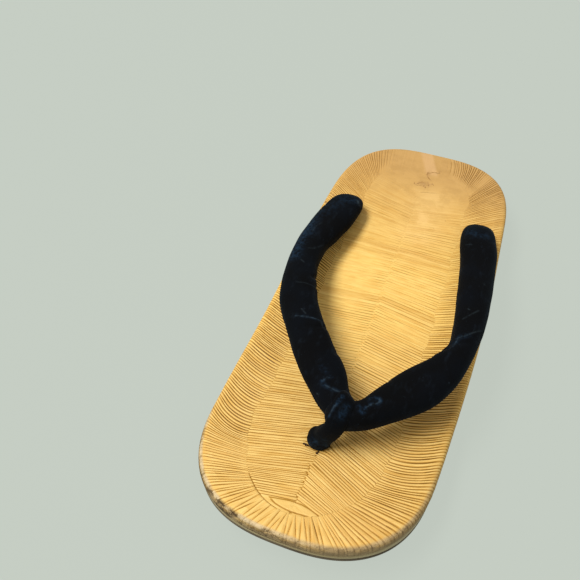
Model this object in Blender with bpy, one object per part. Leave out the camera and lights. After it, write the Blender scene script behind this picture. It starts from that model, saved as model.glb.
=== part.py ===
"""A straw-faced wooden sandal with padded straps, modelled at full size in metres.

Frame: +Z up, the toe points along -Y and the heel along +Y. The origin is on the ground, below the
middle of the sandal's length. From the ground up the sandal is an outsole, a wooden base, a woven
mat and two straps that a front thong ties down.
"""
import math

import bmesh
import bpy
import numpy as np
from mathutils import Matrix, Vector

# ---------------------------------------------------------------- driving dimensions, in metres
LENGTH = 0.250
CLEARANCE = 0.0003            # gap between neighbouring pieces

# Half width of the mat without its rounded ends, by fraction of the length from the heel.
HALF_WIDTHS = (
    # fraction, half width
    (0.00, 0.0439),
    (0.25, 0.0460),
    (0.50, 0.0478),
    (0.75, 0.0463),
    (1.00, 0.0423),
)
# Hand-made lean of the outline: how far its middle line strays towards +X.
SWAY = (
    # fraction, shift
    (0.00, 0.0007),
    (0.25, 0.0007),
    (0.50, 0.0010),
    (0.75, 0.0005),
    (1.00, 0.0003),
)
HEEL_DRAW = 0.0016            # how far the heel end is drawn in
HEEL_SLANT = 0.045            # slant of the heel end, for each metre towards +X
HEEL_BLEND = (0.040, 0.122)   # places along Y between which both set in
HEEL_ROUND_LENGTH = 0.0648
HEEL_ROUND_POWER = 3.05
TOE_ROUND_LENGTH = 0.0439
TOE_ROUND_POWER = 2.60
OUTLINE_POINTS = 64

# Height of the seam between base and mat, by fraction of the length from the heel.
SEAM_HEIGHTS = (
    # fraction, height
    (0.00, 0.0137),
    (0.20, 0.0184),
    (0.40, 0.0153),
    (0.60, 0.0101),
    (0.80, 0.0128),
    (1.00, 0.0178),
)
SPRING_START = 0.62           # fraction of the length where the sole leaves the ground
SPRING_POWER = 1.7
TOE_SPRING = 0.0135           # height of the sole's underside at the toe
OUTSOLE_THICKNESS = 0.0020
MAT_THICKNESS = 0.0053
INNER_RINGS = (0.86, 0.70, 0.54, 0.38, 0.20)   # rings between a layer's edge and its middle

# Edge of each layer, from its underside to its top: a row for each ring.
OUTSOLE_EDGE = (
    # inset from the mat's outline, share of the layer's own thickness
    (0.0014, 0.0),
    (0.0007, 0.3),
    (0.0006, 0.7),
    (0.0008, 1.0),
)
BASE_EDGE = (
    # inset from the mat's outline, share of the layer's own thickness
    (0.0008, 0.0),
    (0.0006, 0.10),
    (0.0005, 0.50),
    (0.0008, 1.0),
)
MAT_EDGE = (
    # inset from the mat's outline, share of the layer's own thickness
    (0.0008, 0.0),
    (0.0001, 0.12),
    (0.0001, 0.40),
    (0.0004, 0.70),
    (0.0010, 0.87),
    (0.0021, 0.962),
    (0.0045, 0.995),
)

# Straps: each row is one section, from the tail in the base to the joint at the front.
LEFT_STRAP = (
    # x, y, z, width, thickness
    (-0.0310, 0.0525, 0.0140, 0.0076, 0.0076),
    (-0.0310, 0.0525, 0.0215, 0.0078, 0.0078),
    (-0.0308, 0.0514, 0.0262, 0.0132, 0.0086),
    (-0.0307, 0.0470, 0.0288, 0.0160, 0.0098),
    (-0.0317, 0.0384, 0.0295, 0.0180, 0.0104),
    (-0.0349, 0.0190, 0.0302, 0.0166, 0.0108),
    (-0.0361, 0.0085, 0.0308, 0.0145, 0.0108),
    (-0.0358, -0.0010, 0.0314, 0.0140, 0.0110),
    (-0.0334, -0.0140, 0.0324, 0.0148, 0.0110),
    (-0.0291, -0.0277, 0.0334, 0.0162, 0.0110),
    (-0.0214, -0.0415, 0.0338, 0.0158, 0.0108),
    (-0.0126, -0.0541, 0.0340, 0.0164, 0.0106),
    (0.0018, -0.0736, 0.0341, 0.0134, 0.0098),
    (0.0061, -0.0791, 0.0341, 0.0104, 0.0094),
)
RIGHT_STRAP = (
    # x, y, z, width, thickness
    (0.0351, 0.0526, 0.0140, 0.0076, 0.0076),
    (0.0351, 0.0526, 0.0215, 0.0078, 0.0078),
    (0.0352, 0.0511, 0.0262, 0.0135, 0.0086),
    (0.0353, 0.0462, 0.0288, 0.0155, 0.0098),
    (0.0368, 0.0381, 0.0295, 0.0168, 0.0104),
    (0.0394, 0.0190, 0.0302, 0.0156, 0.0108),
    (0.0412, -0.0016, 0.0317, 0.0145, 0.0110),
    (0.0422, -0.0200, 0.0325, 0.0125, 0.0112),
    (0.0412, -0.0338, 0.0331, 0.0112, 0.0112),
    (0.0370, -0.0462, 0.0337, 0.0148, 0.0110),
    (0.0297, -0.0582, 0.0342, 0.0176, 0.0110),
    (0.0138, -0.0738, 0.0342, 0.0138, 0.0100),
    (0.0055, -0.0772, 0.0341, 0.0114, 0.0094),
)
# Stem of the front thong, from its tail in the base up to the loop.
THONG_STEM = (
    # x, y, z, width, thickness
    (0.0004, -0.0832, 0.0115, 0.0060, 0.0060),
    (0.0004, -0.0832, 0.0165, 0.0066, 0.0066),
    (0.0010, -0.0831, 0.0205, 0.0094, 0.0090),
    (0.0028, -0.0822, 0.0250, 0.0086, 0.0080),
    (0.0052, -0.0802, 0.0290, 0.0066, 0.0060),
)
SECTION_SIDES = 14
STEPS_PER_ROW = 3

# Loop of the thong, a flat band round the joint of the straps.
LOOP_CENTRE = Vector((0.0068, -0.0774, 0.0341))
LOOP_TURN = math.radians(-9.0)   # about Z, from straight ahead
LOOP_REACH = 0.0086               # half length front to back, at the band's middle
LOOP_RISE = 0.0066                # half height, at the band's middle
LOOP_BAND_HALF_WIDTH = 0.0029
LOOP_BAND_HALF_THICKNESS = 0.0014
LOOP_SEGMENTS = 28
LOOP_BAND_SIDES = 10

# Colour, roughness and metallic value of each material.
FINISHES = {
    "outsole": ((0.16, 0.12, 0.075), 0.75, 0.0),
    "wood": ((0.45, 0.36, 0.18), 0.55, 0.0),
    "straw": ((0.78, 0.50, 0.19), 0.55, 0.0),
    "velvet": ((0.006, 0.009, 0.016), 0.90, 0.0),
}


# ---------------------------------------------------------------- scene helpers
def clear_scene():
    for thing in list(bpy.data.objects):
        bpy.data.objects.remove(thing, do_unlink=True)


def new_collection(name):
    collection = bpy.data.collections.new(name)
    bpy.context.scene.collection.children.link(collection)
    return collection


def new_material(name):
    colour, roughness, metallic = FINISHES[name]
    material = bpy.data.materials.new(name)
    material.use_nodes = True
    shader = material.node_tree.nodes["Principled BSDF"]
    shader.inputs["Base Color"].default_value = (*colour, 1.0)
    shader.inputs["Roughness"].default_value = roughness
    shader.inputs["Metallic"].default_value = metallic
    material.diffuse_color = (*colour, 1.0)
    return material


def finish_piece(piece, material_name):
    piece.data.materials.clear()
    piece.data.materials.append(new_material(material_name))
    piece.data.shade_smooth()
    piece.data.set_sharp_from_angle(angle=math.radians(50.0))


def as_cutter(piece):
    piece.display_type = "WIRE"
    piece.hide_render = True


def boolean(piece, other, operation):
    modifier = piece.modifiers.new(operation.title() + " " + other.name, "BOOLEAN")
    modifier.operation = operation
    modifier.solver = "EXACT"
    modifier.object = other


# ---------------------------------------------------------------- curves
def smooth_through(knots, values, places):
    """Values at the places on a smooth curve through a row of values for each knot."""
    knots = np.asarray(knots, dtype=float)
    values = np.asarray(values, dtype=float)
    slopes = np.gradient(values, knots, axis=0)
    first = np.clip(np.searchsorted(knots, places) - 1, 0, len(knots) - 2)
    span = (knots[first + 1] - knots[first])[:, None]
    t = (np.asarray(places)[:, None] - knots[first][:, None]) / span
    return ((2 * t**3 - 3 * t**2 + 1) * values[first]
            + (t**3 - 2 * t**2 + t) * span * slopes[first]
            + (3 * t**2 - 2 * t**3) * values[first + 1]
            + (t**3 - t**2) * span * slopes[first + 1])


def from_table(table, fractions):
    rows = np.array(table)
    return smooth_through(rows[:, 0], rows[:, 1:], np.atleast_1d(fractions))[:, 0]


def length_fraction(y):
    """Fraction of the length from the heel, for a place along Y."""
    return np.clip(0.5 - y / LENGTH, 0.0, 1.0)


def rounded_end(distance, reach, power):
    """Share of the full width at a distance from one end of the outline."""
    inside = np.clip(1.0 - distance / reach, 0.0, 1.0)
    return (1.0 - inside**power) ** (1.0 / power)


def ramp(value, low, high):
    """0 below low, 1 above high, and smooth between."""
    t = np.clip((value - low) / (high - low), 0.0, 1.0)
    return t * t * (3.0 - 2.0 * t)


def outline(inset):
    """Closed outline of the sandal seen from above, moved inwards by the inset."""
    turns = np.linspace(0.0, 2.0 * math.pi, OUTLINE_POINTS, endpoint=False)
    y = 0.5 * LENGTH * np.cos(turns)
    width = from_table(HALF_WIDTHS, length_fraction(y))
    width = width * rounded_end(0.5 * LENGTH - y, HEEL_ROUND_LENGTH, HEEL_ROUND_POWER)
    width = width * rounded_end(0.5 * LENGTH + y, TOE_ROUND_LENGTH, TOE_ROUND_POWER)
    x = np.sign(np.sin(turns)) * width + from_table(SWAY, length_fraction(y))
    set_in = ramp(y, *HEEL_BLEND)
    points = np.column_stack((x, y - (HEEL_DRAW + HEEL_SLANT * x) * set_in))
    along = np.roll(points, -1, axis=0) - np.roll(points, 1, axis=0)
    along /= np.linalg.norm(along, axis=1)[:, None]
    inwards = np.column_stack((-along[:, 1], along[:, 0]))
    inwards *= np.where(np.sum(inwards * points, axis=1) > 0.0, -1.0, 1.0)[:, None]
    return points + inwards * inset


# ---------------------------------------------------------------- heights along the sandal
def ground_side(y):
    """Height of the sole's underside."""
    past = np.clip((length_fraction(y) - SPRING_START) / (1.0 - SPRING_START), 0.0, 1.0)
    return TOE_SPRING * past**SPRING_POWER


def outsole_top(y):
    return ground_side(y) + OUTSOLE_THICKNESS


def base_bottom(y):
    return outsole_top(y) + CLEARANCE


def mat_bottom(y):
    return from_table(SEAM_HEIGHTS, length_fraction(y))


def base_top(y):
    return mat_bottom(y) - CLEARANCE


def mat_top(y):
    return mat_bottom(y) + MAT_THICKNESS


# ---------------------------------------------------------------- solids
def skin(name, start, rings, finish, collection):
    """Closed body through rings of points, drawn together to a point at each end."""
    mesh = bmesh.new()
    loops = [[mesh.verts.new(point) for point in ring] for ring in rings]
    count = len(loops[0])
    for lower, upper in zip(loops, loops[1:]):
        for i in range(count):
            j = (i + 1) % count
            mesh.faces.new((lower[i], lower[j], upper[j], upper[i]))
    for point, loop in ((start, loops[0]), (finish, loops[-1])):
        tip = mesh.verts.new(point)
        for i in range(count):
            mesh.faces.new((tip, loop[i], loop[(i + 1) % count]))
    bmesh.ops.recalc_face_normals(mesh, faces=mesh.faces)
    data = bpy.data.meshes.new(name)
    mesh.to_mesh(data)
    mesh.free()
    piece = bpy.data.objects.new(name, data)
    collection.objects.link(piece)
    return piece


def at_height(points, height):
    return np.column_stack((points, height(points[:, 1])))


def layer(name, edge, bottom, top, collection):
    """One layer of the sole, between two height functions, with the given edge."""
    lowest, highest = outline(edge[0][0]), outline(edge[-1][0])
    rings = [at_height(lowest * share, bottom) for share in reversed(INNER_RINGS)]
    for inset, share in edge:
        points = outline(inset)
        y = points[:, 1]
        rings.append(np.column_stack((points, bottom(y) + share * (top(y) - bottom(y)))))
    rings += [at_height(highest * share, top) for share in INNER_RINGS]
    middle = np.zeros(1)
    start = (0.0, 0.0, bottom(middle)[0])
    finish = (0.0, 0.0, top(middle)[0])
    return skin(name, start, rings, finish, collection)


def carried_sides(tangents):
    """Sideways direction at each section, level at the front end and carried along without twist."""
    sides = [None] * len(tangents)
    side = np.cross(tangents[-1], (0.0, 0.0, 1.0))
    for i in reversed(range(len(tangents))):
        side = side - tangents[i] * np.dot(side, tangents[i])
        side /= np.linalg.norm(side)
        sides[i] = side
    return np.array(sides)


def tube(name, rows, collection, grow=0.0):
    """Padded tube through the rows of sections, with domed ends; grow thickens it all round."""
    rows = np.array(rows)
    steps = np.linalg.norm(np.diff(rows[:, :3], axis=0), axis=1)
    knots = np.concatenate(([0.0], np.cumsum(steps)))
    counts = np.linspace(0.0, len(rows) - 1.0, STEPS_PER_ROW * (len(rows) - 1) + 1)
    places = np.interp(counts, np.arange(len(rows)), knots)
    sections = smooth_through(knots, rows, places)
    centres, widths, thicknesses = sections[:, :3], sections[:, 3], sections[:, 4]
    tangents = np.gradient(centres, places, axis=0)
    tangents /= np.linalg.norm(tangents, axis=1)[:, None]
    sides = carried_sides(tangents)
    ups = np.cross(sides, tangents)
    turns = np.linspace(0.0, 2.0 * math.pi, SECTION_SIDES, endpoint=False)[:, None]

    def ring(i, scale, advance):
        across = sides[i] * (0.5 * widths[i] + grow) * scale
        up = ups[i] * (0.5 * thicknesses[i] + grow) * scale
        return centres[i] + tangents[i] * advance + np.cos(turns) * across + np.sin(turns) * up

    last = len(centres) - 1
    dome_angles = [math.radians(angle) for angle in (30.0, 60.0)]
    rear_dome = 0.5 * thicknesses[0] + grow
    front_dome = 0.5 * thicknesses[last] + grow
    rings = [ring(0, math.cos(a), -rear_dome * math.sin(a)) for a in reversed(dome_angles)]
    rings += [ring(i, 1.0, 0.0) for i in range(last + 1)]
    rings += [ring(last, math.cos(a), front_dome * math.sin(a)) for a in dome_angles]
    start = centres[0] - tangents[0] * rear_dome
    finish = centres[last] + tangents[last] * front_dome
    return skin(name, start, rings, finish, collection)


def thong_loop(collection):
    """Flat band in a ring that stands on edge round the joint of the straps."""
    bpy.ops.mesh.primitive_torus_add(
        major_segments=LOOP_SEGMENTS, minor_segments=LOOP_BAND_SIDES,
        major_radius=LOOP_REACH, minor_radius=LOOP_BAND_HALF_THICKNESS)
    loop = bpy.context.object
    loop.name = "thong_loop_form"
    stretch = Matrix.Diagonal((
        LOOP_RISE / LOOP_REACH, 1.0, LOOP_BAND_HALF_WIDTH / LOOP_BAND_HALF_THICKNESS, 1.0))
    stand = Matrix.Rotation(math.radians(90.0), 4, "Y")
    turn = Matrix.Rotation(LOOP_TURN, 4, "Z")
    loop.data.transform(Matrix.Translation(LOOP_CENTRE) @ turn @ stand @ stretch)
    for owner in list(loop.users_collection):
        owner.objects.unlink(loop)
    collection.objects.link(loop)
    return loop


def build():
    clear_scene()
    parts = new_collection("geta")
    cutters = new_collection("cutters")

    outsole = layer("outsole", OUTSOLE_EDGE, ground_side, outsole_top, parts)
    base = layer("base", BASE_EDGE, base_bottom, base_top, parts)
    mat = layer("mat", MAT_EDGE, mat_bottom, mat_top, parts)

    straps = tube("straps", LEFT_STRAP, parts)
    right_form = tube("right_strap_form", RIGHT_STRAP, cutters)
    boolean(straps, right_form, "UNION")

    thong = tube("front_thong", THONG_STEM, parts)
    loop_form = thong_loop(cutters)
    boolean(thong, loop_form, "UNION")

    left_room = tube("left_strap_room", LEFT_STRAP, cutters, CLEARANCE)
    right_room = tube("right_strap_room", RIGHT_STRAP, cutters, CLEARANCE)
    stem_room = tube("thong_room", THONG_STEM, cutters, CLEARANCE)
    for room in (left_room, right_room):
        boolean(thong, room, "DIFFERENCE")
    for piece in (mat, base):
        for room in (left_room, right_room, stem_room):
            boolean(piece, room, "DIFFERENCE")

    for form in cutters.objects:
        as_cutter(form)
    finish_piece(outsole, "outsole")
    finish_piece(base, "wood")
    finish_piece(mat, "straw")
    finish_piece(straps, "velvet")
    finish_piece(thong, "velvet")


build()
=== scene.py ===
"""Looks of a straw-faced wooden geta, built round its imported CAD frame.

Lengths in this script are in millimetres and become metres when a mesh is made. The toe points
along -Y, the heel along +Y and +Z is up. A turn is an angle in degrees round the sandal's outline:
0 at the heel, 180 at the toe, positive on the +X side and negative on the -X side.
"""
import math

import bmesh
import bpy
import numpy as np
from mathutils import Matrix, Vector
from mathutils.bvhtree import BVHTree


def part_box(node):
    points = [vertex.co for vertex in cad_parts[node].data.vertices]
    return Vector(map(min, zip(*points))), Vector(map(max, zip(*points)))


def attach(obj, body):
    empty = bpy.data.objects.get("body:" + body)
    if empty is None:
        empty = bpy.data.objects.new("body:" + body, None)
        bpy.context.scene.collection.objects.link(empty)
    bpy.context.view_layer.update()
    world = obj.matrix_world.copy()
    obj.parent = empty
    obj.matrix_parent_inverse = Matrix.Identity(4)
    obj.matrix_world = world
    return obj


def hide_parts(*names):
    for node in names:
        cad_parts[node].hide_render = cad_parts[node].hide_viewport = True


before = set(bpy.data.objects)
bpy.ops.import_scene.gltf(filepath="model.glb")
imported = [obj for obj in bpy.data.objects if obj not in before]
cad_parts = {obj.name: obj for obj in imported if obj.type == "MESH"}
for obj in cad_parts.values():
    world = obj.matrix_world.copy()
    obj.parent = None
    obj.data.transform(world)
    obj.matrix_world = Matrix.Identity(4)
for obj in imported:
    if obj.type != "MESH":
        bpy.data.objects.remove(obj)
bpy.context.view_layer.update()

MM = 0.001

# ---------------- outline and layers, as in the CAD
HALF_LENGTH = 0.1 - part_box("mat")[0].y / MM
LENGTH = 2.0 * HALF_LENGTH
HALF_WIDTHS = (
    # fraction of the length from the heel, half width
    (0.00, 43.9),
    (0.25, 46.0),
    (0.50, 47.8),
    (0.75, 46.3),
    (1.00, 42.3),
)
SWAY = (
    # fraction of the length from the heel, how far the middle line strays towards +X
    (0.00, 0.7),
    (0.25, 0.7),
    (0.50, 1.0),
    (0.75, 0.5),
    (1.00, 0.3),
)
HEEL_DRAW = 1.6               # how far the heel end is drawn in
HEEL_SLANT = 0.045            # slant of the heel end, for each mm towards +X
HEEL_BLEND = (40.0, 122.0)    # places along Y between which both set in
HEEL_ROUND = (64.8, 3.05)     # length and power of the rounded end
TOE_ROUND = (43.9, 2.60)
SEAM_HEIGHTS = (
    # fraction of the length from the heel, height of the seam between base and mat
    (0.0, 13.7),
    (0.2, 18.4),
    (0.4, 15.3),
    (0.6, 10.1),
    (0.8, 12.8),
    (1.0, 17.8),
)
SPRING_START = 0.62
SPRING_POWER = 1.7
TOE_SPRING = 13.5
OUTSOLE_THICKNESS = 2.0
MAT_THICKNESS = 5.3
CLEARANCE = 0.3

# ---------------- straw rows of the mat
LOOP_MIDDLE = -8.0            # the loop of thread that parts the outer rows from the inner ones
LOOP_HALF_LENGTH = 108.0
LOOP_HALF_WIDTHS = (
    # fraction of the loop's length from the heel, half width
    (0.0, 25.5),
    (0.3, 26.5),
    (0.6, 27.5),
    (1.0, 28.0),
)
LOOP_HEEL_ROUND = (22.0, 2.2)
LOOP_TOE_ROUND = (40.0, 2.0)
OUTER_ROWS = (
    # turn where a row leaves the loop, turn where it meets the edge on the +X side, on the -X side
    (0, -2.0, 2.0),
    (8, 0.8, 5.0),
    (15, 4.0, 10.0),
    (22, 10.0, 15.5),
    (28, 19.0, 21.5),
    (35, 29.5, 30.5),
    (40, 37.0, 38.0),
    (45, 43.5, 44.5),
    (52, 53.0, 53.0),
    (61, 61.0, 62.0),
    (72, 73.0, 73.0),
    (99, 97.5, 97.5),
    (131, 125.0, 124.5),
    (137, 130.5, 129.0),
    (147, 142.5, 142.5),
    (157, 155.0, 155.0),
    (165, 167.0, 168.0),
    (172, 175.5, 174.0),
    (180, 180.5, 179.5),
)
ROW_BENDS = (
    # turn where a row leaves the loop, power of its bend on the way to the edge
    (0, 1.0),
    (30, 0.8),
    (60, 0.9),
    (90, 1.1),
    (120, 1.5),
    (150, 1.6),
    (165, 1.2),
    (180, 1.0),
)
OUTER_PITCH = (
    # turn (below 0 on the -X side), width of a row at the edge, height of its ridge, how dark the
    # painted shade in its furrow shows, how far neighbouring furrows lean together into wedges
    (-180, 2.60, 0.50, 0.50, 1.00),
    (-173, 2.40, 0.50, 0.58, 1.00),
    (-166, 1.90, 0.46, 0.78, 0.95),
    (-160, 1.50, 0.42, 0.95, 0.80),
    (-153, 1.34, 0.38, 1.00, 0.50),
    (-147, 1.36, 0.28, 1.00, 0.40),
    (-142, 1.32, 0.34, 1.30, 0.30),
    (-136, 1.34, 0.42, 1.90, 0.25),
    (-115, 1.28, 0.44, 2.20, 0.25),
    (-95, 1.25, 0.42, 2.20, 0.20),
    (-75, 1.22, 0.40, 2.10, 0.20),
    (-50, 1.35, 0.32, 1.25, 0.20),
    (-36, 1.70, 0.26, 0.82, 0.30),
    (-26, 1.80, 0.30, 0.85, 0.45),
    (-19, 2.00, 0.20, 0.70, 0.50),
    (-13, 2.20, 0.04, 0.12, 0.20),
    (0, 2.20, 0.02, 0.05, 0.20),
    (4, 1.60, 0.22, 0.80, 0.30),
    (9, 1.60, 0.34, 1.30, 0.40),
    (17, 1.60, 0.28, 1.20, 0.30),
    (22, 1.70, 0.08, 0.40, 0.30),
    (26, 1.70, 0.28, 1.10, 0.50),
    (33, 1.60, 0.40, 1.50, 0.60),
    (40, 1.80, 0.30, 1.00, 0.50),
    (50, 1.80, 0.26, 0.72, 0.40),
    (62, 1.60, 0.28, 0.80, 0.30),
    (75, 1.35, 0.34, 0.88, 0.25),
    (90, 1.28, 0.38, 1.25, 0.25),
    (100, 1.30, 0.42, 2.00, 0.25),
    (125, 1.45, 0.44, 2.10, 0.25),
    (145, 1.80, 0.42, 1.70, 0.30),
    (158, 1.98, 0.38, 1.02, 0.45),
    (166, 2.00, 0.42, 0.68, 0.70),
    (173, 2.20, 0.46, 0.56, 0.95),
    (180, 2.60, 0.50, 0.52, 1.00),
)
INNER_PITCH = (
    # centre of the row along Y, width of a row, height of its ridge, how dark its furrow's painted shade
    # is
    (-111.5, 1.13, 0.27, 1.00),
    (-85.0, 1.12, 0.27, 1.04),
    (-60.0, 1.22, 0.22, 0.97),
    (0.0, 1.42, 0.10, 0.46),
    (45.0, 1.50, 0.09, 0.40),
    (78.0, 1.55, 0.03, 0.20),
)
INNER_RISE = (
    # centre of the row along Y, rise towards the toe for each mm sideways on the +X side, on the -X side
    (-111.5, 0.25, 0.20),
    (-97.0, 0.46, 0.28),
    (-75.0, 0.40, 0.29),
    (-55.0, 0.25, 0.20),
    (-25.0, 0.18, 0.10),
    (0.0, 0.14, 0.06),
    (20.0, 0.04, 0.00),
    (35.0, 0.00, -0.08),
    (53.0, -0.15, -0.27),
    (65.0, -0.20, -0.35),
    (78.0, -0.27, -0.50),
)
ROW_PROFILE = (
    # place across the row, share of the ridge's height
    (0.00, 0.00),
    (0.08, 0.58),
    (0.26, 0.94),
    (0.52, 1.00),
    (0.78, 0.88),
    (0.92, 0.50),
)
OUTER_STEPS = (0.0, 0.02, 0.10, 0.20, 0.31, 0.42, 0.53, 0.64, 0.75, 0.85, 0.93)
MAT_EDGE = (
    # inset from the outline, share of the mat's thickness, share of the ridge's height, lean outwards
    (4.50, 0.995, 1.00, 0.03),
    (3.00, 0.985, 0.95, 0.06),
    (2.10, 0.962, 0.80, 0.15),
    (1.45, 0.920, 0.60, 0.30),
    (0.95, 0.860, 0.45, 0.45),
    (0.55, 0.770, 0.38, 0.60),
    (0.28, 0.650, 0.34, 0.78),
    (0.10, 0.500, 0.32, 0.92),
    (0.03, 0.340, 0.32, 1.00),
    (0.08, 0.180, 0.30, 1.00),
    (0.30, 0.050, 0.20, 1.00),
    (0.80, 0.000, 0.00, 1.00),
)
RIDGE_LEVEL = 0.6             # share of a ridge's height that lies level with the mat
ROW_SPREAD = 0.34             # unevenness of the widths of the rows
ROWS_START = -179.5           # turn at which the outer rows start, just beside the toe's middle
FOLD_WIDTH = 0.35             # rounding of the V in the inner rows
FOLD_WANDER = 0.5             # how far the V strays from its line, either way
FOLD_JOG = 0.7                # how far rows on the +X side sit off those on the -X side
THREAD_DIP = 0.03             # furrow along the loop of thread
THREAD_FURROW = 0.16          # its further depth where the loop shows, at the toe's -X side
STRAIGHT_TURNS = (130.0, 146.0)    # turns between which the rows stop bending, towards the toe
PLEAT_TURNS = (162.0, 170.0)  # turns between which every other row comes to fade out short of the loop
FAN_TURN = 26.0               # the rows nearer the heel than this turn fade out short of the loop
LOOP_GAP = 0.35               # gap between the loop and the ends of the inner rows
LOOP_HALF_WIDTH = 27.0
INNER_COLUMNS = 41
HEEL_LINES = 34               # lines of smooth mat between the heel end of the loop and the first row
TOE_LINES = 18                # lines of the inner rows past the last whole row
TOP_RINGS = len(OUTER_STEPS) + 3    # rings of the outer rows that belong to the mat's upper side
UNDER_POINTS = 160            # points round each coarse ring of the mat's underside
PRESS_GAP = 0.12              # gap between the mat and what lies on it
CRESCENT_START = -109.0       # place along Y where the rows come to the crescent
CRESCENT = (
    # x, y of its side towards the toe, y of its side towards the heel: a smooth turned-over straw
    (-7.9, -112.7, -112.4),
    (-5.0, -113.9, -111.8),
    (0.0, -114.8, -110.9),
    (6.8, -114.5, -111.6),
    (9.6, -114.2, -112.5),
    (11.6, -113.5, -113.3),
)

# ---------------- straps: the CAD's rows, with a little more shape at the joint
LEFT_STRAP = (
    # x, y, z, width, thickness
    (-31.0, 52.5, 19.4, 7.6, 7.6),
    (-31.0, 52.5, 21.5, 7.8, 7.8),
    (-30.8, 51.4, 26.2, 13.2, 8.6),
    (-30.7, 47.0, 28.8, 16.0, 9.8),
    (-31.7, 38.4, 29.5, 18.0, 10.4),
    (-34.9, 19.0, 30.2, 16.6, 10.8),
    (-36.1, 8.5, 30.8, 14.5, 10.8),
    (-35.8, -1.0, 31.4, 14.0, 11.0),
    (-33.4, -14.0, 32.4, 14.8, 11.0),
    (-29.1, -27.7, 33.4, 16.2, 11.0),
    (-21.4, -41.5, 33.8, 15.8, 10.8),
    (-12.6, -54.1, 34.0, 16.4, 10.6),
    (-4.6, -64.2, 34.1, 16.4, 10.4),
    (2.3, -73.6, 34.2, 12.6, 10.2),
    (8.2, -78.8, 34.5, 11.0, 10.6),
)
RIGHT_STRAP = (
    # x, y, z, width, thickness
    (35.1, 52.6, 19.4, 7.6, 7.6),
    (35.1, 52.6, 21.5, 7.8, 7.8),
    (35.2, 51.1, 26.2, 13.5, 8.6),
    (35.3, 46.2, 28.8, 15.5, 9.8),
    (36.8, 38.1, 29.5, 16.8, 10.4),
    (39.4, 19.0, 30.2, 15.6, 10.8),
    (41.2, -1.6, 31.7, 14.5, 11.0),
    (42.2, -20.0, 32.5, 12.5, 11.2),
    (41.2, -33.8, 33.1, 11.2, 11.2),
    (37.0, -46.2, 33.7, 14.8, 11.0),
    (29.7, -58.2, 34.2, 17.6, 11.0),
    (21.8, -68.4, 34.3, 14.6, 10.8),
    (14.4, -76.4, 34.3, 10.8, 10.6),
    (5.2, -80.8, 34.6, 10.4, 11.0),
)
THONG = (
    # x, y, z, width, thickness: up from its hole, over the joint of the straps and down behind it
    (0.4, -83.2, 15.4, 6.0, 6.0),
    (0.4, -83.2, 18.0, 6.8, 6.8),
    (0.5, -83.4, 21.5, 9.4, 8.6),
    (2.1, -83.8, 25.0, 8.2, 7.2),
    (4.0, -84.4, 29.0, 8.4, 6.0),
    (5.9, -85.0, 33.5, 8.0, 4.2),
    (6.9, -83.8, 38.0, 7.8, 3.4),
    (7.6, -80.2, 40.4, 8.6, 3.0),
    (8.3, -76.6, 39.8, 9.0, 3.0),
    (8.5, -73.9, 36.5, 8.0, 3.0),
    (8.2, -72.9, 32.5, 6.4, 3.0),
    (7.4, -74.0, 29.0, 5.4, 2.6),
)
HOLES = (
    # x, y, radius of the hole in the mat, reach of the parted rows
    (-31.0, 52.5, 4.1, 9.5),
    (35.1, 52.6, 4.1, 9.5),
    (0.4, -83.2, 3.6, 8.5),
)
POCKET_DEPTH = 4.4            # depth of the blind pocket below each hole

# ---------------- curves
def smooth_through(knots, values, places):
    """Values at the places on a smooth curve through a row of values for each knot."""
    knots = np.asarray(knots, dtype=float)
    values = np.asarray(values, dtype=float)
    slopes = np.gradient(values, knots, axis=0)
    first = np.clip(np.searchsorted(knots, places) - 1, 0, len(knots) - 2)
    span = (knots[first + 1] - knots[first])[:, None]
    t = (np.asarray(places)[:, None] - knots[first][:, None]) / span
    return ((2 * t**3 - 3 * t**2 + 1) * values[first]
            + (t**3 - 2 * t**2 + t) * span * slopes[first]
            + (3 * t**2 - 2 * t**3) * values[first + 1]
            + (t**3 - t**2) * span * slopes[first + 1])


def from_table(table, places, column=1):
    """Smooth value of one column of a table at places on its first column."""
    rows = np.array(table, dtype=float)
    flat = np.atleast_1d(places).ravel()
    values = smooth_through(rows[:, 0], rows[:, [column]], np.clip(flat, rows[0, 0], rows[-1, 0]))
    return values[:, 0].reshape(np.shape(places))


def ramp(value, low, high):
    """0 below low, 1 above high, and smooth between."""
    t = np.clip((value - low) / (high - low), 0.0, 1.0)
    return t * t * (3.0 - 2.0 * t)


def bell(distance, width):
    return np.exp(-(distance / width) ** 2)


def waves(u, v, seed, shortest, longest, count=14):
    """Soft irregular height, about -1 to 1, from a sum of waves across a surface."""
    rng = np.random.default_rng(seed)
    total = np.zeros(np.broadcast(u, v).shape)
    for _ in range(count):
        length = rng.uniform(shortest, longest)
        angle = rng.uniform(0.0, 2.0 * math.pi)
        phase = rng.uniform(0.0, 2.0 * math.pi)
        along = u * math.cos(angle) + v * math.sin(angle)
        total = total + np.sin(2.0 * math.pi * along / length + phase)
    return total * math.sqrt(2.0 / count) * 0.6


# ---------------- outline of the sandal
def length_fraction(y):
    """Fraction of the length from the heel, for a place along Y."""
    return np.clip(0.5 - y / LENGTH, 0.0, 1.0)


def rounded_end(distance, end):
    """Share of the full width at a distance from a rounded end of a length and power."""
    reach, power = end
    inside = np.clip(1.0 - distance / reach, 0.0, 1.0)
    return (1.0 - inside**power) ** (1.0 / power)


def outline(turns):
    """Points of the sandal's outline at the given turns."""
    angles = np.radians(turns)
    y = HALF_LENGTH * np.cos(angles)
    width = from_table(HALF_WIDTHS, length_fraction(y))
    width = width * rounded_end(HALF_LENGTH - y, HEEL_ROUND)
    width = width * rounded_end(HALF_LENGTH + y, TOE_ROUND)
    x = np.sign(np.sin(angles)) * width + from_table(SWAY, length_fraction(y))
    return np.stack((x, y - (HEEL_DRAW + HEEL_SLANT * x) * ramp(y, *HEEL_BLEND)), axis=-1)


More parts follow.
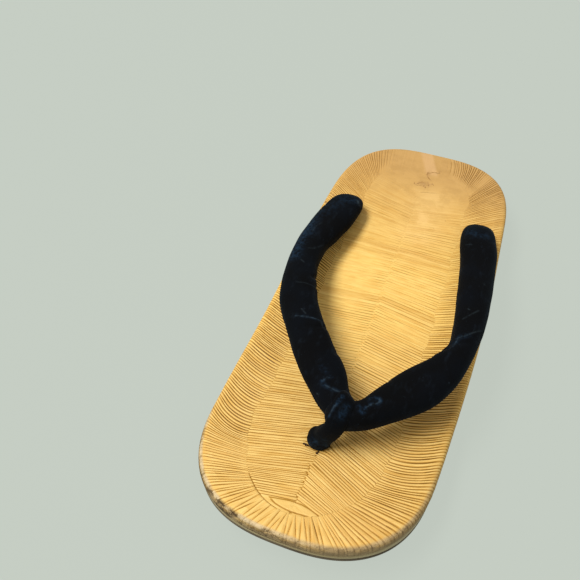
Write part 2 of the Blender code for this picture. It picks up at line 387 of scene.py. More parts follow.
def inwards(turns):
    """Direction into the sandal from its outline."""
    step = 0.02
    along = outline(turns + step) - outline(turns - step)
    along /= np.linalg.norm(along, axis=-1, keepdims=True)
    return np.stack((along[..., 1], -along[..., 0]), axis=-1)


def inset_outline(turns, inset):
    return outline(turns) + inwards(turns) * inset


def thread_loop(turns):
    """Points of the thread loop between the outer and the inner rows."""
    angles = np.radians(turns)
    y = LOOP_HALF_LENGTH * np.cos(angles)
    width = from_table(LOOP_HALF_WIDTHS, 0.5 - 0.5 * np.cos(angles))
    width = width * rounded_end(LOOP_HALF_LENGTH - y, LOOP_HEEL_ROUND)
    width = width * rounded_end(LOOP_HALF_LENGTH + y, LOOP_TOE_ROUND)
    stray = 1.0 + 0.012 * np.sin(y / 1.9 + 1.0) + 0.014 * np.sin(y / 4.7 + 2.0 * np.sign(angles))
    return np.stack((np.sign(np.sin(angles)) * width * stray, y + LOOP_MIDDLE), axis=-1)


# ---------------- heights along the sandal
def ground_side(y):
    past = np.clip((length_fraction(y) - SPRING_START) / (1.0 - SPRING_START), 0.0, 1.0)
    return TOE_SPRING * past**SPRING_POWER


def outsole_top(y):
    return ground_side(y) + OUTSOLE_THICKNESS


def base_bottom(y):
    return outsole_top(y) + CLEARANCE


def mat_bottom(y):
    return from_table(SEAM_HEIGHTS, length_fraction(y))


def base_top(y):
    return mat_bottom(y) - CLEARANCE


def wear_hollows(x, y):
    """How far feet have pressed the mat down, and its soft unevenness."""
    heel = -0.55 * bell(x, 26.0) * bell(y - 80.0, 32.0)
    ball = -0.30 * bell(x, 28.0) * bell(y + 62.0, 28.0)
    uneven = 0.10 * np.sin(x / 17.0 + y / 41.0 + 0.6) + 0.08 * np.sin(y / 23.0 - x / 31.0 + 2.1)
    return heel + ball + uneven


def mat_top(x, y, share=1.0):
    return mat_bottom(y) + MAT_THICKNESS * share + wear_hollows(x, y) * np.clip(2 * share - 1, 0, 1)


# ---------------- meshes
def make_piece(name, points, faces, material):
    """Mesh object through points in mm; faces is a list of arrays, one for each count of corners."""
    mesh = bpy.data.meshes.new(name)
    corners = [tuple(face) for group in faces for face in np.asarray(group).tolist()]
    mesh.from_pydata((np.asarray(points) * MM).tolist(), [], corners)
    mesh.validate()
    mesh.update()
    mesh.shade_smooth()
    piece = bpy.data.objects.new(name, mesh)
    bpy.context.scene.collection.objects.link(piece)
    mesh.materials.append(material)
    return piece


def wound(points, faces, towards):
    """The faces, all turned over if as a whole they face away from the given direction."""
    corners = points[faces[:, :3]]
    normals = np.cross(corners[:, 1] - corners[:, 0], corners[:, 2] - corners[:, 0])
    return faces if np.sum(normals * towards) > 0.0 else faces[:, ::-1]


def patch_border(groups):
    """Points round the border of a patch of faces that are wound alike, in order."""
    edges = set()
    for group in groups:
        for face in group.tolist():
            edges.update(zip(face, face[1:] + face[:1]))
    onwards = {a: b for a, b in edges if (b, a) not in edges}
    border = [min(onwards)]
    for _ in range(len(onwards) - 1):
        border.append(onwards[border[-1]])
    return np.array(border)


def drop_loose(points, faces, facts):
    """Points, faces and values of the points without the points that no face uses."""
    used = np.zeros(len(points), dtype=bool)
    for group in faces:
        used[group] = True
    numbers = np.cumsum(used) - 1
    facts = {name: values[used] for name, values in facts.items()}
    return points[used], [numbers[group] for group in faces], facts


def face_outwards(piece):
    work = bmesh.new()
    work.from_mesh(piece.data)
    bmesh.ops.recalc_face_normals(work, faces=work.faces)
    work.to_mesh(piece.data)
    work.free()


def add_value(piece, name, values):
    layer = piece.data.attributes.new(name, "FLOAT", "POINT")
    layer.data.foreach_set("value", np.asarray(values, dtype=np.float32))


def grid_faces(rows, columns, first=0, closed=True):
    """Quads between rows of points that follow one another, closed round each row or not."""
    lower = np.arange(rows - 1)[:, None] * columns
    i = np.arange(columns if closed else columns - 1)[None, :]
    j = (i + 1) % columns
    quads = np.stack((lower + i, lower + j, lower + columns + j, lower + columns + i), axis=-1)
    return quads.reshape(-1, 4) + first


def fan_faces(ring, tip):
    """Triangles from a closed ring of points to a tip."""
    return np.stack((ring, np.roll(ring, -1), np.full(len(ring), tip)), axis=-1)


def closed_stack(rings, tips):
    """Points and faces of a stack of rings that closes on a tip at either end."""
    points = np.concatenate([*rings, tips])
    around = len(rings[0])
    first, last = np.arange(around), np.arange(around) + (len(rings) - 1) * around
    faces = [grid_faces(len(rings), around), fan_faces(first, len(points) - 2),
             fan_faces(last, len(points) - 1)]
    return points, faces


def zip_faces(first, first_places, second, second_places):
    """Triangles between two closed loops of points whose places run upwards round the same turn."""
    faces = []
    i = j = 0
    count_1, count_2 = len(first), len(second)
    while i < count_1 or j < count_2:
        next_1 = first_places[(i + 1) % count_1] + 360.0 * ((i + 1) // count_1)
        next_2 = second_places[(j + 1) % count_2] + 360.0 * ((j + 1) // count_2)
        a, b = first[i % count_1], second[j % count_2]
        if j >= count_2 or (i < count_1 and next_1 <= next_2):
            faces.append((a, first[(i + 1) % count_1], b))
            i += 1
        else:
            faces.append((a, second[(j + 1) % count_2], b))
            j += 1
    return np.array(faces)


# ---------------- mat
def edge_lengths():
    """Turns round the whole outline and the length along the edge up to each."""
    steps = np.linspace(-1.0, 1.0, 24001)
    turns = 180.0 * (steps - np.sin(2.0 * math.pi * steps) / (2.0 * math.pi))
    points = outline(turns)
    lengths = np.concatenate(([0.0], np.cumsum(np.linalg.norm(np.diff(points, axis=0), axis=1))))
    return turns, lengths


def row_bounds(start, total, pitch_at, rng, spread):
    """Places where rows start, from start over a total length, with an uneven pitch."""
    places = [start]
    while places[-1] < start + total:
        places.append(places[-1] + pitch_at(places[-1]) * (1.0 + spread * rng.uniform(-1.0, 1.0)))
    places = np.array(places)
    return start + (places - start) * total / (places[-1] - start)


def samples_in_rows(bounds):
    """For every sample across every row: its place, its share of ridge height and its row."""
    profile = np.array(ROW_PROFILE)
    widths = np.diff(bounds)
    places = bounds[:-1, None] + widths[:, None] * profile[None, :, 0]
    heights = np.broadcast_to(profile[:, 1], places.shape)
    rows = np.broadcast_to(np.arange(len(widths))[:, None], places.shape)
    return places.ravel(), heights.ravel(), rows.ravel()


def one_side(turns):
    """The same turns from -180 to 180."""
    return (turns + 180.0) % 360.0 - 180.0


def outer_rows():
    """Columns of the outer rows: turns at the loop and at the edge, ridge shares and rows."""
    turns, lengths = edge_lengths()
    total = lengths[-1]
    start = np.interp(ROWS_START, turns, lengths)
    rng = np.random.default_rng(3)

    def turn_at(place):
        return np.interp(place % total, lengths, turns) + 360.0 * (place >= total)

    def pitch_at(place):
        return float(from_table(OUTER_PITCH, np.interp(place % total, lengths, turns)))

    bounds = row_bounds(start, total, pitch_at, rng, ROW_SPREAD)
    places, shares, rows = samples_in_rows(bounds)
    table = np.array(OUTER_ROWS)
    leaves = np.concatenate((-table[::-1, 0], table[1:, 0]))
    meets = np.concatenate((-table[::-1, 2], table[1:, 1]))
    bound_turns = turn_at(bounds)
    wedge = from_table(OUTER_PITCH, one_side(bound_turns), 4) * rng.uniform(0.3, 0.46, len(bounds))
    lean = np.where(np.arange(len(bounds)) % 2 == 0, 1.0, -1.0) * wedge
    lean *= np.where(rng.random(len(bounds)) < 0.5, 1.0, 0.6)
    lean[[0, -1]] = 0.0
    gaps = np.gradient(bound_turns)
    loop_bounds = smooth_through(meets, leaves[:, None], bound_turns)[:, 0]
    loop_bounds = loop_bounds + lean * np.gradient(loop_bounds)
    edge_turns = np.interp(places, bounds, bound_turns - 0.8 * lean * gaps)
    loop_turns = np.interp(places, bounds, loop_bounds)
    return loop_turns, edge_turns, shares, rows, places


def row_character(rows, seed):
    """Uneven height and tint of each row, from a random number for each."""
    rng = np.random.default_rng(seed)
    count = int(rows.max()) + 1
    heights = 1.0 + 0.28 * rng.uniform(-1.0, 1.0, count)
    tints = rng.normal(0.0, 0.50, count)
    deep = rng.random(count) ** 1.5
    return heights[rows], np.clip(tints, -1.0, 1.0)[rows], deep[rows]


def ripple(rows, lengths, seed):
    """Uneven strength along each row, from -1 to 1."""
    rng = np.random.default_rng(seed)
    total = np.zeros(np.broadcast(rows, lengths).shape)
    for wave in (2.3, 4.1, 9.7):
        phases = rng.uniform(0.0, 2.0 * math.pi, int(rows.max()) + 1)
        total = total + np.sin(lengths / wave * (1.0 + 0.1 * np.sin(phases[rows])) + phases[rows])
    return total / 3.0


def crescent(x, y):
    """Body and outline, from 0 to 1, of the crescent at the toe end of the inner rows."""
    inside = np.minimum(from_table(CRESCENT, x, 2) - y, y - from_table(CRESCENT, x, 1))
    between = (x > CRESCENT[0][0] - 0.3) & (x < CRESCENT[-1][0] + 0.3)
    return ramp(inside, 0.0, 0.45) * between, bell(inside, 0.26) * between


def edge_run():
    """Length over the rolled edge, from its inner end to each row of the edge table."""
    edge = np.array(MAT_EDGE)
    steps = np.hypot(np.diff(edge[:, 0]), MAT_THICKNESS * np.diff(edge[:, 1]))
    return np.concatenate(([0.0], np.cumsum(steps)))


def mat_outer():
    """Outer rows, from the thread loop over the rolled edge to the mat's underside.

    Gives points ring by ring, points in a ring, rings, turns at the loop and values of the points.
    """
    loop_turns, edge_turns, shares, rows, places = outer_rows()
    heights, tints, deep = row_character(rows, 11)
    turns = one_side(edge_turns)
    side = np.abs(turns)
    amplitude = from_table(OUTER_PITCH, turns, 2) * heights * (0.9 + 0.45 * deep)
    sharp = from_table(OUTER_PITCH, turns, 3)
    bends = from_table(ROW_BENDS, np.abs(loop_turns))
    start, finish = thread_loop(loop_turns), outline(edge_turns)
    inward = inwards(edge_turns)
    depth = np.sum((start - finish) * inward, axis=1)
    top_end = 1.0 - MAT_EDGE[0][0] / depth
    # the loop of thread shows only at the toe's -X side
    closing = ramp(-start[:, 0], 2.5, 5.0) * ramp(-start[:, 1], 104.0, 108.0)
    straight = ramp(side, *STRAIGHT_TURNS)[:, None]
    fading = np.where(rows % 2 == 0, 1.0, 1.0 - ramp(side, *PLEAT_TURNS))

    def on_row(u):
        """Points at a share of the way from the loop to the edge along every line."""
        turns = loop_turns + (edge_turns - loop_turns) * np.abs(u) ** bends
        u = np.asarray(u)[:, None]
        bent = (1.0 - u) * thread_loop(turns) + u * outline(turns)
        return bent + straight * ((1.0 - u) * start + u * finish - bent)

    rings = []
    for step in OUTER_STEPS:
        xy = on_row(step * top_end)
        length = depth * (1.0 - step * top_end)
        wave = ripple(rows, length, 31) + 0.8 * waves(places, 0.4 * length, 41, 9.0, 26.0)
        fade = fading + (1.0 - fading) * ramp(step, 0.15, 0.75)
        fade = fade * (0.55 + 0.45 * ramp(step, 0.0, 0.3))
        fade = fade * (1.0 - ramp(FAN_TURN - side, 0.0, 6.0) * ramp(0.35 - step, 0.0, 0.3))
        ridge = fade * (1.0 + 0.30 * wave)
        z = mat_top(xy[:, 0], xy[:, 1], 1.0 - 0.005 * step**2)
        dip = THREAD_DIP + THREAD_FURROW * closing if step == 0.0 else 0.0
        z = z - dip + amplitude * ridge * (shares - RIDGE_LEVEL)
        rings.append((xy, z, length, np.zeros(len(z)), fade * (1.0 + 0.35 * wave)))
    for (inset, share, ridge, lean), run in zip(MAT_EDGE, edge_run()):
        under = share < 0.04
        xy = inset_outline(edge_turns, inset) if under else on_row(1.0 - inset / depth)
        lift = amplitude * ridge * (shares - RIDGE_LEVEL)
        xy = xy - inward * (lift * lean)[:, None]
        z = mat_top(xy[:, 0], xy[:, 1], share) + lift * (1.0 - lean)
        strength = 1.0 + 0.35 * ripple(rows, np.full(len(z), -run), 31)
        rings.append((xy, z, np.full(len(z), -run), np.full(len(z), run), strength))
    points = np.concatenate([np.column_stack((xy, z)) for xy, z, _, _, _ in rings])
    count = len(shares)
    thread = np.zeros((len(rings), count))
    thread[0] = 0.7 * closing
    strengths = np.concatenate([strength for _, _, _, _, strength in rings])
    # how deep each point lies in its furrow: it sets the painted furrow shade and crest highlight
    furrow = np.tile((1.0 - shares) * sharp, len(rings)) * strengths
    facts = {
        "edge": np.concatenate([run for _, _, _, run, _ in rings]),
        "furrow": np.maximum(furrow, thread.ravel()),
        "tint": np.tile(tints, len(rings)),
        "deep": np.tile(deep, len(rings)),
        "across": np.tile(places, len(rings)),
        "along": np.concatenate([length for _, _, length, _, _ in rings]),
    }
    return points, count, len(rings), loop_turns, facts


def row_ends(centres, rises):
    """Turns on the thread loop where the arms of inner rows meet it, on one side."""
    turns = np.linspace(0.0, 180.0, 1801)
    loop = thread_loop(turns)
    ends = np.empty(len(centres))
    for i, (centre, rise) in enumerate(zip(centres, rises)):
        height = loop[:, 1] + rise * loop[:, 0]
        ends[i] = np.interp(-centre, -height, turns)
    return ends


def inner_lines():
    """Lines of the inner rows from the heel to the toe: centre, end turns, ridge share and row.

    The first HEEL_LINES lines belong to no row: they are the smooth mat at the heel.
    """
    rng = np.random.default_rng(5)
    first, last = INNER_PITCH[-1][0], INNER_PITCH[0][0]

    def pitch_at(place):
        return float(from_table(INNER_PITCH, -place))

    places, shares, rows = samples_in_rows(row_bounds(-first, first - last, pitch_at, rng, ROW_SPREAD))
    centres = -places
    plus = row_ends(centres, from_table(INNER_RISE, centres, 1))
    minus = row_ends(centres, from_table(INNER_RISE, centres, 2))
    t = (np.arange(HEEL_LINES) + 0.5) / HEEL_LINES
    heel_tip = LOOP_MIDDLE + LOOP_HALF_LENGTH - 0.8
    heel_centres = heel_tip + (centres[0] - heel_tip) * t
    heel_turns = 3.0 + (np.array([plus[0], minus[0]])[:, None] - 3.0) * t
    t = (np.arange(TOE_LINES) + 1.0) / TOE_LINES
    toe_tip = LOOP_MIDDLE - LOOP_HALF_LENGTH + 0.6
    toe_centres = centres[-1] + (toe_tip - centres[-1]) * t
    last_turns = np.array([plus[-1], minus[-1]])[:, None]
    toe_turns = last_turns + (177.0 - last_turns) * t**0.7
    centres = np.concatenate((heel_centres, centres, toe_centres))
    plus = np.concatenate((heel_turns[0], plus, toe_turns[0]))
    minus = np.concatenate((heel_turns[1], minus, toe_turns[1]))
    profile = np.array(ROW_PROFILE)[:, 1]
    toe_rows = np.arange(TOE_LINES) // len(profile)
    shares = np.concatenate((np.full(HEEL_LINES, RIDGE_LEVEL), shares, np.resize(profile, TOE_LINES)))
    rows = np.concatenate((np.zeros(HEEL_LINES, int), rows + 1, toe_rows + rows.max() + 2))
    return centres, plus, minus, shares, rows


def mat_inner():
    """Inner rows, V-shaped, that meet on the centre line.

    Gives points line by line, lines, turns of their ends on both sides and values of the points.
    """
    centres, plus, minus, shares, rows = inner_lines()
    woven = np.arange(len(centres)) >= HEEL_LINES
    heights, tints, deep = row_character(rows, 12)
    amplitude = woven * from_table(INNER_PITCH, centres, 2) * heights * (1.0 + 0.3 * deep)
    sharp = woven * from_table(INNER_PITCH, centres, 3)
    shrink = np.array((1.0 - LOOP_GAP / LOOP_HALF_WIDTH, 1.0 - LOOP_GAP / LOOP_HALF_LENGTH))
    middle = np.array((0.0, LOOP_MIDDLE))
    plus_ends = (thread_loop(plus) - middle) * shrink + middle
    minus_ends = (thread_loop(-minus) - middle) * shrink + middle
    across = np.linspace(-1.0, 1.0, INNER_COLUMNS)[None, :]
    across = np.sign(across) * np.abs(across) ** 1.6
    ends = np.where(across[..., None] >= 0.0, plus_ends[:, None, :], minus_ends[:, None, :])
    wander = np.random.default_rng(6).uniform(-FOLD_WANDER, FOLD_WANDER, rows.max() + 1)[rows]
    fold = (woven * (wander + 0.9))[:, None]
    x = fold + np.abs(across) * (ends[..., 0] - fold)
    rounding = FOLD_WIDTH / np.maximum(np.abs(ends[..., 0]), 1.0)
    bend = ((np.sqrt(across**2 + rounding**2) - rounding) / (np.sqrt(1.0 + rounding**2) - rounding))
    y = centres[:, None] + (ends[..., 1] - centres[:, None]) * bend
    y = y + FOLD_JOG * (across > 0.001) * (1.0 - across) * woven[:, None]
    wave = ripple(rows[:, None], x, 32) + 0.65 * waves(centres[:, None], 0.4 * x, 42, 8.0, 24.0)
    # the rows are faint at mid-length on the -X side, and calm where they fold
    wave = wave - 1.5 * ramp(-x, 2.0, 10.0) * ramp(x, -27.0, -21.0) * bell(y - 8.0, 36.0)
    calm = 1.0 - 0.4 * bell(x - fold, 0.45) * ramp(y, -80.0, -50.0)
    ridge = (1.0 + 0.30 * wave) * calm
    # a seam runs down the fold at the toe, and no rows pass the crescent
    body, outline_share = crescent(x, y)
    seam = bell(x - fold, 0.45) * woven[:, None] * ramp(-y, 60.0, 88.0)
    past = np.clip(1.0 - body - ramp(from_table(CRESCENT, x, 1) - y, -0.3, 0.2), 0.0, 1.0)
    past = np.where(y < CRESCENT_START, past, 1.0)
    ridge = ridge * past
    z = mat_top(x, y) + (amplitude * (shares - RIDGE_LEVEL))[:, None] * ridge
    z = z + 0.16 * body - 0.16 * outline_share - 0.07 * seam
    points = np.stack((x, y, z), axis=-1).reshape(-1, 3)
    strength = np.clip(1.0 + 0.45 * wave, 0.15, 2.0) * calm
    # how deep each point lies in its furrow: it sets the painted furrow shade and crest highlight
    furrow = ((1.0 - shares) * sharp)[:, None] * strength
    seam_marks = np.random.default_rng(8).uniform(0.0, 0.38, rows.max() + 1)[rows][:, None]
    furrow = np.maximum(furrow, seam * seam_marks) * past
    furrow = np.maximum(furrow, 0.78 * outline_share)

    def spread(values):
        return np.repeat(values, INNER_COLUMNS)

    facts = {
        "edge": np.zeros(len(points)),
        "furrow": furrow.ravel(),
        "tint": np.clip(spread(tints) * (1.0 - body.ravel()) + 0.7 * body.ravel(), -1.0, 1.0),
        "deep": spread(deep),
        "across": spread(centres + 600.0),
        "along": x.ravel() + 40.0 * (x.ravel() > 0.0),
    }
    return points, len(centres), plus, minus, facts


def inner_border(lines, plus, minus, first):
    """Points and turns round the border of the inner rows, with turns running upwards."""
    row = np.arange(lines)
    left = first + row * INNER_COLUMNS
    right = left + INNER_COLUMNS - 1
    middle = np.arange(1, INNER_COLUMNS - 1)
    share = middle / (INNER_COLUMNS - 1.0)
    heel_turns = -minus[0] + (plus[0] + minus[0]) * share
    toe_turns = plus[-1] + (360.0 - minus[-1] - plus[-1]) * share
    toe_points = first + (lines - 1) * INNER_COLUMNS + middle[::-1]
    points = np.concatenate((left[::-1], first + middle, right, toe_points))
    turns = np.concatenate((-minus[::-1], heel_turns, plus, toe_turns))
    return points, turns


def part_rows(points, faces, upper):
    """Parts the rows round each strap hole and opens the hole, with a blind pocket below it."""
    for x, y, radius, reach in HOLES:
        offset = points[:, :2] - (x, y)
        distance = np.linalg.norm(offset, axis=1)
        core = 0.5 * radius
        near = upper & (distance < core)
        # opens the hole: its core loses its faces, and the border moves out to the radius
        hits = [near[group].any(axis=1) for group in faces]
        border = patch_border([group[hit] for group, hit in zip(faces, hits)])
        faces = [group[~hit] for group, hit in zip(faces, hits)]
        new_distance = radius + (reach - radius) * (distance - core) / (reach - core)
        new_distance[border] = radius
        moved = upper & (distance < reach) & ~near
        scale = np.where(moved, new_distance / np.maximum(distance, 1e-6), 1.0)
        points[:, :2] = (x, y) + offset * scale[:, None]
        # the parted rows dip a little at the hole
        sink = 0.5 * bell(new_distance - radius, 1.6)
        points[:, 2] -= np.where(moved, sink, 0.0)
        wall = points[border] - (0.0, 0.0, POCKET_DEPTH)
        wall[:, :2] = (x, y) + (wall[:, :2] - (x, y)) * 0.96
        bottom = np.array([[x, y, wall[:, 2].min()]])
        low = len(points) + np.arange(len(border))
        points = np.concatenate((points, wall, bottom))
        sides = np.stack((border, np.roll(border, -1), np.roll(low, -1), low), axis=-1)
        floor = fan_faces(low, len(points) - 1)
        to_middle = (x, y, 0.0) - points[border] * (1.0, 1.0, 0.0)
        faces.append(wound(points, sides, to_middle))
        faces.append(wound(points, floor, (0.0, 0.0, 1.0)))
        upper = np.concatenate((upper, np.zeros(len(border) + 1, dtype=bool)))
    return points, faces


def underside(points, ring_first, count, turns):
    """Closes the mat below with coarse rings."""
    coarse = np.linspace(-180.0, 180.0, UNDER_POINTS, endpoint=False)
    rings = []
    for share in (1.0, 0.75, 0.5, 0.25):
        xy = inset_outline(coarse, 9.0) * share
        rings.append(np.column_stack((xy, mat_bottom(xy[:, 1]))))
    first = len(points)
    fine = np.arange(ring_first, ring_first + count)
    order = np.argsort(turns)
    ring = first + np.arange(UNDER_POINTS)
    centre = first + UNDER_POINTS * len(rings)
    faces = [zip_faces(fine[order], turns[order], ring, coarse),
             grid_faces(len(rings), UNDER_POINTS, first),
             fan_faces(ring + UNDER_POINTS * (len(rings) - 1), centre)]
    middle = [[0.0, 0.0, float(mat_bottom(0.0))]]
    points = np.concatenate([points, *rings, middle])
    return points, [wound(points, group, (0.0, 0.0, -1.0)) for group in faces]


def press_under(points, upper, presser):
    """Keeps the mat's upper side just below what lies on it."""
    tree = BVHTree.FromObject(presser, bpy.context.evaluated_depsgraph_get())
    for i in np.flatnonzero(upper):
        x, y, z = points[i]
        hit = tree.ray_cast(Vector((x, y, z - 4.0)) * MM, Vector((0.0, 0.0, 1.0)), 6.0 * MM)[0]
        if hit is not None and hit.z / MM - PRESS_GAP < z:
            points[i, 2] = hit.z / MM - PRESS_GAP
    return points


def stains(points):
    """Browned places on the mat, from 0 to 1."""
    x, y = points[:, 0], points[:, 1]
    stain = 1.0 * bell(x - 0.6, 4.4) * bell(y - 86.4, 3.2)
    stain += 0.7 * bell(x - 0.4 + 0.15 * (y - 98.0), 1.2) * bell(y - 98.0, 3.8)
    stain += 0.8 * bell(x - 5.4, 1.0) * bell(y - 103.2, 0.9)
    return np.clip(stain, 0.0, 1.0)


def worn(points):
    """Places paled by the heel, from 0 to 1."""
    x, y = points[:, 0], points[:, 1]
    return bell(x - 7.0, 9.0) * ramp(y, 20.0, 55.0) * ramp(90.0 - y, 0.0, 20.0)


def rosy(points):
    """A paler, pinker place at the heel's end, from 0 to 1."""
    x, y = points[:, 0], points[:, 1]
    left, right = -1.2 - 0.35 * (y - 98.5), 4.5 - 0.32 * (y - 101.0)
    return ramp(x - left, -0.8, 1.0) * ramp(right - x, -0.4, 0.6) * ramp(y, 95.0, 101.0)


def woven_mat(material, pressers):
    outer, count, rings, loop_turns, facts = mat_outer()
    inner, lines, plus, minus, inner_facts = mat_inner()
    points = np.concatenate((outer, inner))
    facts = {name: np.concatenate((facts[name], inner_facts[name])) for name in facts}
    facts["stain"] = stains(points)
    facts["worn"] = worn(points)
    facts["rosy"] = rosy(points)
    border, border_turns = inner_border(lines, plus, minus, len(outer))
    up = (0.0, 0.0, 1.0)
    quads = (wound(points, grid_faces(rings, count), up),
             wound(points, grid_faces(lines, INNER_COLUMNS, len(outer), closed=False), up))
    ribbon = zip_faces(np.arange(count), loop_turns, border, border_turns)
    faces = [np.concatenate(quads), wound(points, ribbon, up)]
    upper = np.zeros(len(points), dtype=bool)
    upper[:TOP_RINGS * count] = True
    upper[len(outer):] = True
    points, faces = part_rows(points, faces, upper)
    for presser in pressers:
        points = press_under(points, upper, presser)
    low_ring = (rings - 1) * count
    turns = np.degrees(np.arctan2(outer[low_ring:, 0], outer[low_ring:, 1]))
    points, closing = underside(points, low_ring, count, turns)
    facts = {name: np.pad(values, (0, len(points) - len(values))) for name, values in facts.items()}
    points, faces, facts = drop_loose(points, faces + closing, facts)
    piece = make_piece("woven_mat", points, faces, material)
    for name, values in facts.items():
        add_value(piece, name, values)
    return piece


# ---------------- cracks in the mat
CRACKS = (
    # width, route of (x, y) points over the mat
    (0.60, ((-5.2, 86.4), (-3.9, 84.6), (-2.4, 87.2), (-0.6, 88.6))),
    (0.75, ((-0.4, 87.8), (0.6, 85.6), (2.0, 83.0))),
    (0.70, ((1.6, 89.8), (2.6, 87.2), (3.4, 84.6))),
    (0.55, ((3.0, 87.0), (4.3, 88.6), (5.6, 87.4))),
    (0.45, ((-3.4, 83.6), (-1.2, 84.8), (1.0, 84.2))),
    (0.70, ((3.2, 91.6), (0.9, 94.4), (-0.3, 97.1), (-0.2, 100.4))),
    (0.75, ((-0.2, 97.6), (1.3, 100.4), (3.4, 101.3), (5.6, 100.9))),
    (1.10, ((4.4, 101.0), (5.0, 101.6), (5.8, 102.0))),
    (0.80, ((-44.2, 60.5), (-42.7, 59.6), (-40.9, 57.8))),
    (0.80, ((-44.6, 53.5), (-43.8, 52.3), (-42.8, 50.6))),
    (1.10, ((-2.8, -85.9), (-3.9, -86.2), (-5.0, -86.1))),
    (1.00, ((1.2, -87.0), (1.3, -87.8), (1.2, -88.6))),
)
CRACK_STEPS = 24              # points along each edge of a crack's ribbon
CRACK_LIFT = 0.06             # height of the ribbons over the mat


def crack_lines(material, mat):
    """Thin ribbons that lie on the mat along each crack."""
    tree = BVHTree.FromObject(mat, bpy.context.evaluated_depsgraph_get())
    points, faces = [], []
    for width, route in CRACKS:
        places = np.linspace(0.0, len(route) - 1.0, CRACK_STEPS)
        xy = smooth_through(np.arange(len(route)), route, places)
        xy += 0.16 * np.stack((np.sin(places * 9.0), np.cos(places * 11.0)), axis=-1)
        along = np.gradient(xy, axis=0)
        along /= np.linalg.norm(along, axis=1)[:, None]
        across = np.stack((-along[:, 1], along[:, 0]), axis=-1)
        taper = np.sin(math.pi * np.linspace(0.08, 0.92, CRACK_STEPS)) ** 0.6
        for edge in (-0.5, 0.5):
            for x, y in xy + across * (edge * width * taper)[:, None]:
                hit = tree.ray_cast(Vector((x, y, 60.0)) * MM, Vector((0.0, 0.0, -1.0)))[0]
                points.append((x, y, hit.z / MM + CRACK_LIFT))
        first = len(points) - 2 * CRACK_STEPS
        faces.append(grid_faces(2, CRACK_STEPS, first, closed=False))
    points = np.array(points)
    faces = [wound(points, np.concatenate(faces), (0.0, 0.0, 1.0))]
    return make_piece("crack_lines", points, faces, material)


# ---------------- padded straps
def along_rows(rows, count):
    """Sections at even steps along a table of rows, with the directions of each."""
    rows = np.array(rows, dtype=float)
    steps = np.linalg.norm(np.diff(rows[:, :3], axis=0), axis=1)
    knots = np.concatenate(([0.0], np.cumsum(steps)))
    places = np.linspace(0.0, knots[-1], count)
    sections = smooth_through(knots, rows, places)
    tangents = np.gradient(sections[:, :3], places, axis=0)
    tangents /= np.linalg.norm(tangents, axis=1)[:, None]
    sides = np.empty_like(tangents)
    side = np.cross(tangents[-1], (0.0, 0.0, 1.0))
    for i in reversed(range(count)):
        side = side - tangents[i] * np.dot(side, tangents[i])
        side /= np.linalg.norm(side)
        sides[i] = side
    return places, sections, tangents, sides, np.cross(sides, tangents)


def crease(places, angles, girths, route, width, depth):
    """Soft trough, or ridge where depth is negative, along a route of (place, angle) points."""
    u = places[:, None] + 0.0 * angles[None, :]
    total = np.zeros(u.shape)
    for wrap in (-360.0, 0.0, 360.0):
        v = (np.degrees(angles)[None, :] + wrap) / 360.0 * girths[:, None]
        nearest = np.full(u.shape, 1e9)
        for (u0, v0), (u1, v1) in zip(route, route[1:]):
            g0, g1 = np.interp((u0, u1), places, girths) / 360.0
            du, dv = u1 - u0, v1 * g1 - v0 * g0
            t = np.clip(((u - u0) * du + (v - v0 * g0) * dv) / (du * du + dv * dv), 0.0, 1.0)
            nearest = np.minimum(nearest, np.hypot(u - u0 - t * du, v - v0 * g0 - t * dv))
        total = total + bell(nearest, width)
    return -depth * total


DOME_ANGLES = (14.0, 30.0, 48.0, 65.0, 80.0)    # degrees from a dome's foot towards its tip


def dome(centre, ring, reach):
    """Rings of a dome from a ring of points towards its tip, which is at the reach past the centre."""
    return [centre + reach * math.sin(a) + (ring - centre) * math.cos(a)
            for a in map(math.radians, DOME_ANGLES)]


def padded_tube(rows, count, around, shape, creases, lumps, seed, domes):
    """Points and faces of a stuffed tube with domed ends, and the grid of its surface."""
    places, sections, tangents, sides, ups = along_rows(rows, count)
    widths, thicknesses = sections[:, 3], sections[:, 4]
    angles = np.linspace(0.0, 2.0 * math.pi, around, endpoint=False)
    cosines, sines = np.cos(angles)[None, :], np.sin(angles)[None, :]
    swell = (np.abs(cosines) ** shape + np.abs(sines) ** shape) ** (-1.0 / shape)
    flatter = np.where(sines < 0.0, 0.95, 1.0)
    girths = math.pi * (widths + thicknesses) / 2.0
    offset = lumps * waves(places[:, None], angles[None, :] * girths.mean() / (2 * math.pi),
                           seed, 7.0, 34.0)
    for route, width, depth in creases:
        offset = offset + crease(places, angles, girths, route, width, depth)
    end_fade = ramp(places, 0.0, 4.0)[:, None] * ramp(places[-1] - places, 0.0, 4.0)[:, None]
    offset = offset * end_fade
    across = swell * cosines * widths[:, None] / 2.0 + cosines * offset
    up = swell * sines * flatter * thicknesses[:, None] / 2.0 + sines * offset
    body = (sections[:, None, :3] + across[..., None] * sides[:, None, :]
            + up[..., None] * ups[:, None, :])
    start, finish = sections[0, :3], sections[-1, :3]
    start_reach, finish_reach = -tangents[0] * domes[0], tangents[-1] * domes[1]
    rings = (dome(start, body[0], start_reach)[::-1] + list(body)
             + dome(finish, body[-1], finish_reach))
    tips = np.array([start + start_reach, finish + finish_reach])
    return (*closed_stack(rings, tips), (places, angles, girths))


